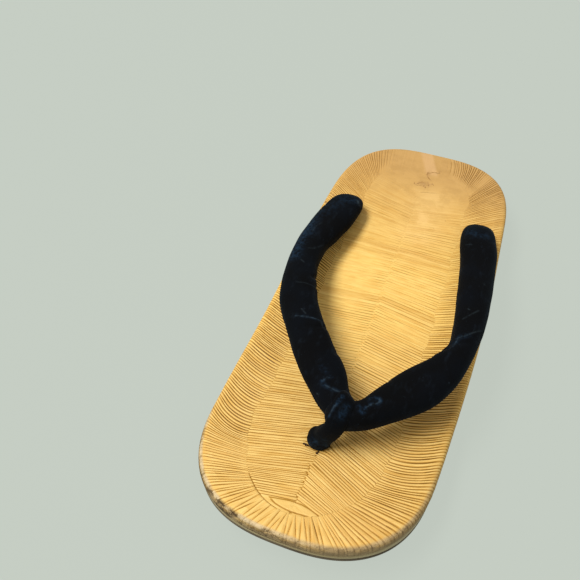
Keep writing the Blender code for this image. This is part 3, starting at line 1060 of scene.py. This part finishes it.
# Creases: (route of (place from the tail, angle) points, width, depth); angle 0 is the side
# towards -X and 90 the top. A depth below zero is a ridge.
LEFT_CREASES = (
    (((75.0, 190.0), (76.5, 165.0), (79.0, 140.0)), 1.3, 0.55),
    (((82.0, 188.0), (84.0, 160.0)), 1.1, 0.35),
    (((68.0, 190.0), (69.0, 165.0)), 1.2, 0.35),
    (((110.0, 78.0), (111.5, 110.0), (110.5, 168.0)), 1.1, 0.28),
    (((107.0, 92.0), (108.5, 108.0)), 0.9, 0.18),
    (((15.0, 165.0), (17.5, 120.0)), 1.3, -0.22),
    (((21.0, 30.0), (24.0, 65.0)), 1.6, 0.20),
    (((124.0, 175.0), (126.0, 140.0)), 1.2, 0.30),
    (((134.0, 10.0), (137.0, 40.0)), 1.4, 0.25),
)
RIGHT_CREASES = (
    (((101.0, -5.0), (100.0, 25.0), (98.0, 50.0)), 1.3, 0.60),
    (((95.5, 45.0), (91.0, 105.0), (83.0, 152.0)), 1.3, 0.30),
    (((107.0, -5.0), (105.5, 22.0)), 1.2, 0.40),
    (((93.5, -5.0), (93.0, 20.0)), 1.1, 0.35),
    (((118.0, 170.0), (121.0, 140.0)), 1.4, 0.28),
    (((130.0, 5.0), (128.0, 35.0)), 1.2, 0.28),
    (((20.0, 150.0), (22.0, 120.0)), 1.5, 0.18),
)
UNDER_SEAM = (((16.0, -62.0), (90.0, -62.0), (150.0, -62.0)), 0.55, 0.45)


# Strokes: (route, width, strength) of painted blue sheen on lit edges, folds and creases of the velvet.
LEFT_SHEEN_STROKES = (
    (((14.0, 100.0), (30.0, 60.0)), 3.4, 0.35),
    (((36.0, 40.0), (47.5, 56.0), (58.5, 50.0), (66.0, 54.0)), 3.0, 0.90),
    (((40.0, 12.0), (56.0, 8.0)), 2.4, 0.45),
    (((15.0, 112.0), (14.3, 137.0)), 1.4, 0.60),
    (((138.2, 66.0), (136.8, 80.0), (137.2, 94.0)), 0.7, 0.80),
    (((139.5, 66.0), (142.0, 80.0), (144.9, 104.0)), 0.8, 0.60),
    (((104.0, 66.0), (106.0, 101.0), (107.9, 137.0)), 0.7, 0.45),
    (((132.0, 80.0), (134.0, 88.0)), 1.2, 0.35),
)
RIGHT_SHEEN_STROKES = (
    (((16.0, 50.0), (19.0, 80.0), (19.6, 104.0)), 2.2, 0.50),
    (((96.8, 61.0), (90.7, 58.0), (87.2, 94.0)), 1.1, 0.50),
    (((145.3, 112.0), (143.7, 94.0), (141.8, 90.0), (138.0, 94.0)), 0.7, 0.80),
    (((138.0, 94.0), (137.6, 83.0), (139.1, 66.0), (141.5, 65.0)), 0.7, 0.75),
    (((146.4, 84.0), (146.0, 104.0)), 1.0, 0.60),
    (((104.0, 24.0), (112.0, 18.0)), 1.6, 0.35),
)
THONG_SHEEN_STROKES = (
    (((24.3, 338.0), (27.6, 317.0), (30.5, 310.0)), 0.6, 1.00),
    (((25.5, 268.0), (29.0, 262.0)), 1.0, 0.70),
    (((3.2, 298.0), (5.0, 275.0), (6.7, 252.0)), 1.4, 1.00),
    (((9.5, 245.0), (12.6, 268.0)), 1.8, 0.80),
    (((6.4, 312.0), (9.6, 300.0)), 1.2, 0.80),
)
# Hairs: (route, width, strength) of pale lint on the nap, and of thin painted highlights along folds.
LEFT_HAIRS = (
    (((14.8, 148.0), (14.0, 132.0)), 0.6, 0.75),
    (((38.9, 86.0), (43.0, 78.0), (47.2, 79.0)), 0.22, 0.25),
    (((52.1, 150.0), (58.9, 121.0), (60.0, 100.0)), 0.22, 0.28),
    (((69.4, 88.0), (71.0, 100.0)), 0.24, 0.30),
    (((84.9, 84.0), (85.3, 110.0), (86.0, 146.0)), 0.22, 0.28),
    (((104.0, 64.0), (106.0, 101.0), (107.9, 135.0), (112.8, 138.0)), 0.24, 0.45),
    (((100.8, 86.0), (103.8, 94.0)), 0.22, 0.35),
    (((113.0, 160.0), (113.3, 162.0)), 0.30, 0.45),
    (((138.0, 70.0), (137.0, 80.0), (137.2, 92.0)), 0.24, 0.35),
    (((140.4, 72.0), (142.6, 86.0), (145.6, 106.0)), 0.24, 0.40),
    (((141.5, 31.0), (141.7, 33.0)), 0.32, 0.90),
)
RIGHT_HAIRS = (
    (((96.8, 60.0), (90.7, 60.0), (87.2, 94.0), (81.1, 137.0)), 0.22, 0.40),
    (((78.8, 58.0), (76.5, 76.0), (71.5, 108.0)), 0.20, 0.34),
    (((72.3, 72.0), (72.5, 74.0)), 0.32, 0.70),
    (((26.5, 40.0), (27.0, 62.0)), 0.22, 0.28),
    (((54.0, 111.0), (54.3, 113.0)), 0.30, 0.45),
    (((143.7, 94.0), (141.8, 90.0), (138.0, 94.0), (137.6, 83.0)), 0.22, 0.45),
)
THONG_HAIRS = (
    (((24.6, 335.0), (27.6, 318.0)), 0.26, 0.50),
    (((3.6, 292.0), (5.2, 272.0)), 0.30, 0.50),
)


def painted(surface, strokes):
    """Strength of the strokes at every point of a tube."""
    places, angles, girths = surface
    total = np.zeros((len(places), len(angles)))
    for route, width, strength in strokes:
        total = total + crease(places, angles, girths, route, width, -strength)
    total = np.pad(total, ((len(DOME_ANGLES), len(DOME_ANGLES)), (0, 0)), mode="edge")
    tips = np.zeros(2)
    return np.concatenate((np.clip(total, 0.0, 1.0).ravel(), tips))


def velvet_tube(rows, counts, shape, creases, lumps, seed, strokes, hairs, domes=(1.0, 4.0)):
    """Points, faces and values of one stuffed velvet tube."""
    points, faces, surface = padded_tube(rows, *counts, shape, creases, lumps, seed, domes)
    return points, faces, {"sheen": painted(surface, strokes), "lint_and_highlight": painted(surface, hairs)}


def velvet_piece(name, tubes, material):
    """One piece of several tubes."""
    points, faces, first = [], [], 0
    for tube_points, tube_faces, _ in tubes:
        points.append(tube_points)
        faces += [group + first for group in tube_faces]
        first += len(tube_points)
    piece = make_piece(name, np.concatenate(points), faces, material)
    face_outwards(piece)
    for value in tubes[0][2]:
        add_value(piece, value, np.concatenate([values[value] for _, _, values in tubes]))
    return piece


def velvet_straps(material):
    counts, shape, lumps = (400, 100), 2.3, 0.13
    left = velvet_tube(LEFT_STRAP, counts, shape, LEFT_CREASES + (UNDER_SEAM,), lumps, 21,
                       LEFT_SHEEN_STROKES, LEFT_HAIRS)
    right = velvet_tube(RIGHT_STRAP, counts, shape, RIGHT_CREASES + (UNDER_SEAM,), lumps, 22,
                        RIGHT_SHEEN_STROKES, RIGHT_HAIRS)
    return velvet_piece("velvet_straps", (left, right), material)


THONG_CREASES = (
    (((8.0, 60.0), (16.0, 75.0), (26.0, 80.0)), 0.8, 0.45),
    (((7.0, 120.0), (14.0, 118.0), (24.0, 112.0)), 0.7, 0.35),
    (((4.0, 200.0), (12.0, 190.0), (20.0, 176.0)), 0.9, 0.40),
)


def velvet_thong(material):
    tube = velvet_tube(THONG, (200, 72), 2.4, THONG_CREASES, 0.10, 23, THONG_SHEEN_STROKES, THONG_HAIRS,
                       (1.0, 1.2))
    return velvet_piece("velvet_thong", (tube,), material)


# ---------------- base and outsole
BASE_EDGE = (
    # inset from the outline, share of the base's height
    (1.60, 0.000),
    (1.10, 0.015),
    (0.80, 0.050),
    (0.62, 0.120),
    (0.52, 0.250),
    (0.50, 0.500),
    (0.52, 0.750),
    (0.66, 0.900),
    (0.90, 0.965),
    (1.50, 1.000),
)
OUTSOLE_EDGE = (
    # inset from the outline, share of the outsole's height
    (1.60, 0.00),
    (1.00, 0.12),
    (0.70, 0.35),
    (0.62, 0.60),
    (0.66, 0.85),
    (0.90, 0.98),
    (1.40, 1.00),
)
LAYER_POINTS = 320            # points round each ring of the base and the outsole


def sole_layer(name, edge, bottom, top, material):
    """One layer of the sole between two heights, with rounded edges."""
    even = np.linspace(-1.0, 1.0, LAYER_POINTS, endpoint=False)
    turns = 180.0 * (even - 0.75 * np.sin(2.0 * math.pi * even) / (2.0 * math.pi))
    inner = (0.2, 0.45, 0.7, 0.9)
    steps = ([(size, edge[0][0], 0.0) for size in inner] + [(1.0, *step) for step in edge]
             + [(size, edge[-1][0], 1.0) for size in reversed(inner)])
    rings = []
    for size, inset, share in steps:
        xy = inset_outline(turns, inset) * size
        y = xy[:, 1]
        rings.append(np.column_stack((xy, bottom(y) + share * (top(y) - bottom(y)))))
    middle = np.zeros(1)
    tips = np.array([[0.0, 0.0, bottom(middle)[0]], [0.0, 0.0, top(middle)[0]]])
    piece = make_piece(name, *closed_stack(rings, tips), material)
    face_outwards(piece)
    shares = np.repeat([share for _, _, share in steps], LAYER_POINTS)
    add_value(piece, "height_share", np.concatenate((shares, (0.0, 1.0))))
    return piece


# ---------------- materials
class Nodes:
    """Short calls for building a material's node tree."""

    def __init__(self, name):
        self.material = bpy.data.materials.new(name)
        self.material.use_nodes = True
        self.tree = self.material.node_tree
        self.shader = self.tree.nodes["Principled BSDF"]

    def put(self, value, socket):
        """Feeds a number, a colour or another node's output into a socket."""
        if isinstance(value, bpy.types.NodeSocket):
            self.tree.links.new(value, socket)
        elif socket.type == "RGBA":
            socket.default_value = (*value, 1.0)
        else:
            socket.default_value = value

    def add(self, kind, inputs, **settings):
        """The outputs of a new node with these inputs."""
        node = self.tree.nodes.new(kind)
        for name, value in settings.items():
            setattr(node, name, value)
        for name, value in inputs.items():
            self.put(value, node.inputs[name])
        return node.outputs

    def attribute(self, name):
        return self.add("ShaderNodeAttribute", {}, attribute_name=name)["Fac"]

    def place(self):
        return self.add("ShaderNodeTexCoord", {})["Object"]

    def axis(self, vector, name):
        return self.add("ShaderNodeSeparateXYZ", {"Vector": vector})[name]

    def combine(self, x, y):
        return self.add("ShaderNodeCombineXYZ", {"X": x, "Y": y})["Vector"]

    def stretch(self, vector, scale):
        return self.add("ShaderNodeMapping", {"Vector": vector, "Scale": scale})["Vector"]

    def noise(self, vector, scale, detail, roughness):
        inputs = {"Vector": vector, "Scale": scale, "Detail": detail, "Roughness": roughness}
        return self.add("ShaderNodeTexNoise", inputs)["Fac"]

    def math(self, operation, a, b):
        return self.add("ShaderNodeMath", {0: a, 1: b}, operation=operation)["Value"]

    def times(self, a, b):
        return self.math("MULTIPLY", a, b)

    def spread(self, value, low, high, to_low=0.0, to_high=1.0):
        """The value's stretch from low to high, spread smoothly from to_low to to_high."""
        inputs = {"Value": value, "From Min": low, "From Max": high, "To Min": to_low, "To Max": to_high}
        return self.add("ShaderNodeMapRange", inputs, interpolation_type="SMOOTHSTEP")["Result"]

    def mix(self, share, a, b):
        return self.add("ShaderNodeMix", {"Factor": share, 6: a, 7: b}, data_type="RGBA")[2]

    def layers(self, colour, *layers):
        """The colour with layers of (share, colour) mixed over it in turn."""
        for share, tone in layers:
            colour = self.mix(share, colour, tone)
        return colour

    def bump(self, height, strength, distance, under=None):
        inputs = {"Height": height, "Strength": strength, "Distance": distance}
        if under is not None:
            inputs["Normal"] = under
        return self.add("ShaderNodeBump", inputs)["Normal"]

    def finish(self, colour, roughness, normal=None, **constants):
        """The material, with these inputs of its shader."""
        inputs = {name.replace("_", " "): value for name, value in constants.items()}
        inputs.update({"Base Color": colour, "Roughness": roughness})
        if normal is not None:
            inputs["Normal"] = normal
        for name, value in inputs.items():
            self.put(value, self.shader.inputs[name])
        return self.material


def row_colours(n, place, edge, streak, fibre, mottle):
    """Colour of the rows with painted furrow shade and crest highlights, and how far that shade darkens
    it.
    """
    furrow, deep = n.attribute("furrow"), n.attribute("deep")
    y = n.axis(place, "Y")
    heel, fore = n.spread(y, 0.020, 0.105), n.spread(y, -0.010, -0.075)
    calm = n.spread(heel, 0.4, 1.0, 1.0, 0.15)
    tint = n.times(n.attribute("tint"), calm)
    patch = n.noise(place, 26.0, 3.0, 0.55)
    flank = n.mix(heel, (0.83, 0.475, 0.100), (0.58, 0.332, 0.098))
    # painted highlight: the crests of the rows are lighter than their flanks
    crest_highlight_colour = n.mix(heel, (0.955, 0.655, 0.190), (0.62, 0.372, 0.126))
    crest_highlight_colour = n.mix(fore, crest_highlight_colour, (0.985, 0.705, 0.245))
    painted_crest_highlight = n.times(n.spread(streak, 0.30, 0.62, -0.45, 0.20), calm)
    painted_crest_highlight = n.times(n.spread(furrow, 0.42, 0.06), n.math("ADD", painted_crest_highlight, 0.75))
    # painted shade: the colour that the furrows darken towards
    furrow_shade_colour = n.mix(deep, (0.36, 0.165, 0.004), (0.22, 0.092, 0.002))
    furrow_shade_colour = n.layers(furrow_shade_colour, (heel, (0.32, 0.160, 0.030)),
                      (n.spread(furrow, 0.85, 1.70), (0.120, 0.047, 0.001)))
    # how far the painted furrow shade covers the colour
    painted_furrow_shade = n.times(n.spread(furrow, 0.14, 0.54), n.spread(streak, 0.75, 0.35, 0.70, 1.0))
    painted_furrow_shade = n.times(painted_furrow_shade, n.spread(edge, 0.8, 3.2, 1.0, 0.5))
    paled = n.times(n.attribute("worn"), n.spread(mottle, 0.60, 0.40, 0.20, 0.50))
    colour = n.layers(
        n.mix(painted_crest_highlight, flank, crest_highlight_colour),
        (n.spread(tint, 0.0, 1.0, 0.0, 0.30), (0.97, 0.68, 0.24)),
        (n.spread(tint, 0.0, -1.0, 0.0, 0.36), (0.58, 0.29, 0.050)),
        (n.spread(patch, 0.45, 0.75, 0.0, 0.24), (0.62, 0.33, 0.075)),
        (n.times(n.spread(fibre, 0.40, 0.75, 0.0, 0.30), calm), (0.58, 0.30, 0.055)),
        (n.times(n.spread(mottle, 0.42, 0.68, 0.0, 0.42), heel), (0.47, 0.270, 0.080)),
        (paled, (0.93, 0.630, 0.255)),
        (painted_furrow_shade, furrow_shade_colour),
        (n.times(fore, 0.17), (0.56, 0.33, 0.085)),
    )
    return colour, painted_furrow_shade


def toe_scuffs(n, place, edge, colour, painted_furrow_shade):
    """The colour with the toe's rubbed and dirty edge over it, and how scuffed that edge is."""
    toe = n.spread(n.axis(place, "Y"), -0.070, -0.108)
    rubbed = n.spread(n.axis(place, "X"), 0.020, -0.015, 0.35, 1.0)
    rub = n.noise(place, 110.0, 5.0, 0.80)
    shoulder = n.times(n.spread(edge, 2.3, 3.4), n.spread(edge, 5.0, 3.8))
    shoulder = n.times(n.times(shoulder, rubbed), n.spread(rub, 0.44, 0.56, 0.0, 0.85))
    below = n.spread(edge, 2.2, 4.0)
    lower = n.times(below, n.spread(rub, 0.62, 0.42, 0.60, 1.0))
    scuff = n.noise(n.stretch(place, (200.0, 200.0, 420.0)), 1.0, 5.0, 0.82)
    scuff = n.times(n.spread(scuff, 0.42, 0.58), rubbed)
    dirt = n.mix(scuff, (0.40, 0.280, 0.135), (0.060, 0.036, 0.016))
    # the painted furrow shade darkens the dirty band further
    dirt = n.mix(painted_furrow_shade, dirt, (0.085, 0.045, 0.016))
    grime = n.mix(scuff, (0.32, 0.235, 0.122), (0.085, 0.056, 0.028))
    side = n.times(n.spread(edge, 4.4, 6.4), n.spread(toe, 0.0, 1.0, 0.60, 0.80))
    colour = n.layers(
        colour,
        (n.times(lower, toe), dirt),
        (n.times(shoulder, toe), (0.74, 0.585, 0.350)),
        (side, n.mix(toe, (0.36, 0.22, 0.075), grime)),
    )
    return colour, n.times(scuff, n.times(below, toe))


def heel_marks(n, place, mottle, colour):
    """The colour with the pinker place, the browned marks and small specks over it."""
    browned = n.times(n.attribute("stain"), n.spread(mottle, 0.35, 0.65, 0.20, 0.60))
    specks = n.spread(n.noise(place, 420.0, 2.0, 0.5), 0.72, 0.78, 0.0, 0.35)
    return n.layers(
        colour,
        (n.times(n.attribute("rosy"), 0.36), (0.80, 0.510, 0.260)),
        (browned, (0.40, 0.220, 0.080)),
        (specks, (0.40, 0.21, 0.060)),
    )


def straw_material():
    n = Nodes("golden_straw")
    place, edge = n.place(), n.attribute("edge")
    strand = n.combine(n.attribute("across"), n.attribute("along"))
    streak = n.noise(n.stretch(strand, (0.80, 0.11, 1.0)), 1.0, 2.0, 0.5)
    fibre = n.noise(n.stretch(strand, (3.4, 0.16, 1.0)), 1.0, 3.0, 0.6)
    mottle = n.noise(place, 120.0, 4.0, 0.62)
    colour, painted_furrow_shade = row_colours(n, place, edge, streak, fibre, mottle)
    colour, scuffed = toe_scuffs(n, place, edge, colour, painted_furrow_shade)
    colour = heel_marks(n, place, mottle, colour)
    rough = n.math("MAXIMUM", n.spread(fibre, 0.2, 0.8, 0.42, 0.60), n.spread(edge, 0.5, 3.0, 0.45, 0.85))
    normal = n.bump(fibre, 0.6, 0.00012)
    normal = n.bump(streak, 0.35, 0.00030, normal)
    normal = n.bump(scuffed, 0.7, 0.00035, normal)
    return n.finish(colour, rough, normal, Specular_IOR_Level=0.22)


def crack_material():
    n = Nodes("dark_crack")
    place = n.place()
    shade = n.noise(place, 700.0, 2.0, 0.5)
    colour = n.mix(n.spread(shade, 0.35, 0.65), (0.360, 0.185, 0.052), (0.600, 0.360, 0.140))
    colour = n.mix(n.spread(n.axis(place, "Y"), -0.040, -0.070), colour, (0.050, 0.020, 0.008))
    return n.finish(colour, 0.7, Specular_IOR_Level=0.2)


def wood_material():
    n = Nodes("pale_wood")
    place, share = n.place(), n.attribute("height_share")
    grain = n.noise(n.stretch(place, (900.0, 40.0, 900.0)), 1.0, 3.0, 0.55)
    patch = n.noise(place, 30.0, 3.0, 0.5)
    # and a little darker towards the top
    # lighter at mid-height; darker towards the bottom as painted shade on the rounded lower edge,
    colour = n.layers(
        (0.30, 0.235, 0.115),
        (n.spread(share, 0.0, 0.5), (0.42, 0.345, 0.175)),
        (n.spread(share, 0.55, 1.0, 0.0, 0.6), (0.33, 0.25, 0.12)),
        (n.spread(patch, 0.35, 0.7, 0.0, 0.35), (0.34, 0.26, 0.125)),
        (n.spread(grain, 0.35, 0.75, 0.0, 0.22), (0.24, 0.17, 0.075)),
    )
    rough = n.spread(patch, 0.3, 0.7, 0.50, 0.66)
    return n.finish(colour, rough, n.bump(grain, 0.25, 0.00006), Specular_IOR_Level=0.4)


def rubber_material():
    n = Nodes("brown_rubber")
    place = n.place()
    patch = n.noise(place, 60.0, 4.0, 0.6)
    fine = n.noise(place, 900.0, 2.0, 0.5)
    colour = n.mix(n.spread(patch, 0.3, 0.7), (0.085, 0.065, 0.040), (0.16, 0.125, 0.078))
    rough = n.spread(patch, 0.3, 0.7, 0.62, 0.82)
    return n.finish(colour, rough, n.bump(fine, 0.35, 0.00010), Specular_IOR_Level=0.35)


def velvet_material():
    n = Nodes("navy_velvet")
    place = n.place()
    patch = n.noise(place, 55.0, 4.0, 0.6)
    brushed = n.noise(n.stretch(place, (330.0, 150.0, 330.0)), 1.0, 4.0, 0.65)
    nap = n.noise(place, 2600.0, 2.0, 0.6)
    ruffled = n.noise(place, 620.0, 4.0, 0.70)
    dust = n.noise(place, 1100.0, 1.0, 0.5)
    # painted blue sheen, and pale lint with thin painted highlights along folds
    sheen = n.times(n.attribute("sheen"), n.spread(ruffled, 0.38, 0.66, 0.05, 1.0))
    lint_and_highlight = n.times(n.attribute("lint_and_highlight"), n.spread(ruffled, 0.36, 0.60, 0.15, 1.0))
    colour = n.layers(
        (0.0018, 0.0020, 0.0024),
        (n.spread(patch, 0.38, 0.68), (0.0020, 0.0030, 0.0048)),
        (n.spread(brushed, 0.52, 0.78, 0.0, 0.7), (0.0060, 0.0095, 0.0145)),
        (sheen, (0.0105, 0.0270, 0.0520)),
        (n.spread(dust, 0.74, 0.80, 0.0, 0.5), (0.0160, 0.0260, 0.0360)),
        (lint_and_highlight, (0.0440, 0.0640, 0.0740)),
    )
    rough = n.spread(nap, 0.2, 0.8, 0.80, 0.95)
    normal = n.bump(brushed, 0.45, 0.00035, n.bump(nap, 0.5, 0.00012))
    return n.finish(colour, rough, normal, Specular_IOR_Level=0.06, Sheen_Weight=0.05,
                    Sheen_Roughness=0.40, Sheen_Tint=(0.25, 0.42, 0.62))


def floor_material():
    return Nodes("pale_floor").finish((0.040, 0.044, 0.040), 0.9, Specular_IOR_Level=0.03,
                                      Emission_Color=(0.558, 0.610, 0.546), Emission_Strength=0.915)


# ---------------- stage
CAMERA_PLACE = (0.0402, -0.2185, 0.2393)    # metres
CAMERA_FORWARD = (-0.2540, 0.6619, -0.7052)
CAMERA_RIGHT = (0.9327, 0.3608, 0.0027)
CAMERA_LENS = 41.97           # on a sensor 36 mm wide
LIGHT_PLACE = (-1.19, -0.79, 2.64)
LIGHT_SIZE = (0.95, 2.3)
LIGHT_WATTS = 86.0


def put_in_scene(name, data, axes, place):
    """Object with these axes at this place."""
    item = bpy.data.objects.new(name, data)
    bpy.context.scene.collection.objects.link(item)
    item.matrix_world = Matrix.Translation(place) @ Matrix(axes).transposed().to_4x4()
    return item


def add_camera():
    forward = Vector(CAMERA_FORWARD).normalized()
    right = Vector(CAMERA_RIGHT)
    right = (right - forward * right.dot(forward)).normalized()
    data = bpy.data.cameras.new("photo_camera")
    data.sensor_width = 36.0
    data.lens = CAMERA_LENS
    data.clip_start = 0.01
    axes = (right, right.cross(forward), -forward)
    bpy.context.scene.camera = put_in_scene("photo_camera", data, axes, CAMERA_PLACE)


def add_key_light():
    """Soft oval light turned to the sandal, longer the way the sandal lies."""
    data = bpy.data.lights.new("key", "AREA")
    data.shape = "ELLIPSE"
    data.size, data.size_y = LIGHT_SIZE
    data.energy = LIGHT_WATTS
    data.color = (1.0, 0.98, 0.95)
    back = Vector(LIGHT_PLACE).normalized()
    across = Vector((0.0, 1.0, 0.0)).cross(back).normalized()
    put_in_scene("key", data, (across, back.cross(across), back), LIGHT_PLACE)


def add_stage():
    bpy.ops.mesh.primitive_plane_add(size=6.0)
    floor = bpy.context.object
    floor.name = "floor"
    floor.data.materials.append(floor_material())
    world = bpy.data.worlds.new("studio")
    bpy.context.scene.world = world
    world.use_nodes = True
    background = world.node_tree.nodes["Background"]
    background.inputs["Color"].default_value = (1.0, 0.97, 0.93, 1.0)
    background.inputs["Strength"].default_value = 0.44
    add_key_light()
    bpy.context.scene.view_settings.view_transform = "Standard"


# ---------------- the sandal
def place_piece(piece, node):
    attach(piece, "root")
    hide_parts(node)


def build():
    add_camera()
    add_stage()
    velvet = velvet_material()
    straps = velvet_straps(velvet)
    thong = velvet_thong(velvet)
    mat = woven_mat(straw_material(), (straps, thong))
    cracks = crack_lines(crack_material(), mat)
    base = sole_layer("wooden_base", BASE_EDGE, base_bottom, base_top, wood_material())
    outsole = sole_layer("rubber_outsole", OUTSOLE_EDGE, ground_side, outsole_top,
                         rubber_material())
    place_piece(straps, "straps")
    place_piece(thong, "front_thong")
    place_piece(mat, "mat")
    place_piece(cracks, "mat")
    place_piece(base, "base")
    place_piece(outsole, "outsole")


build()
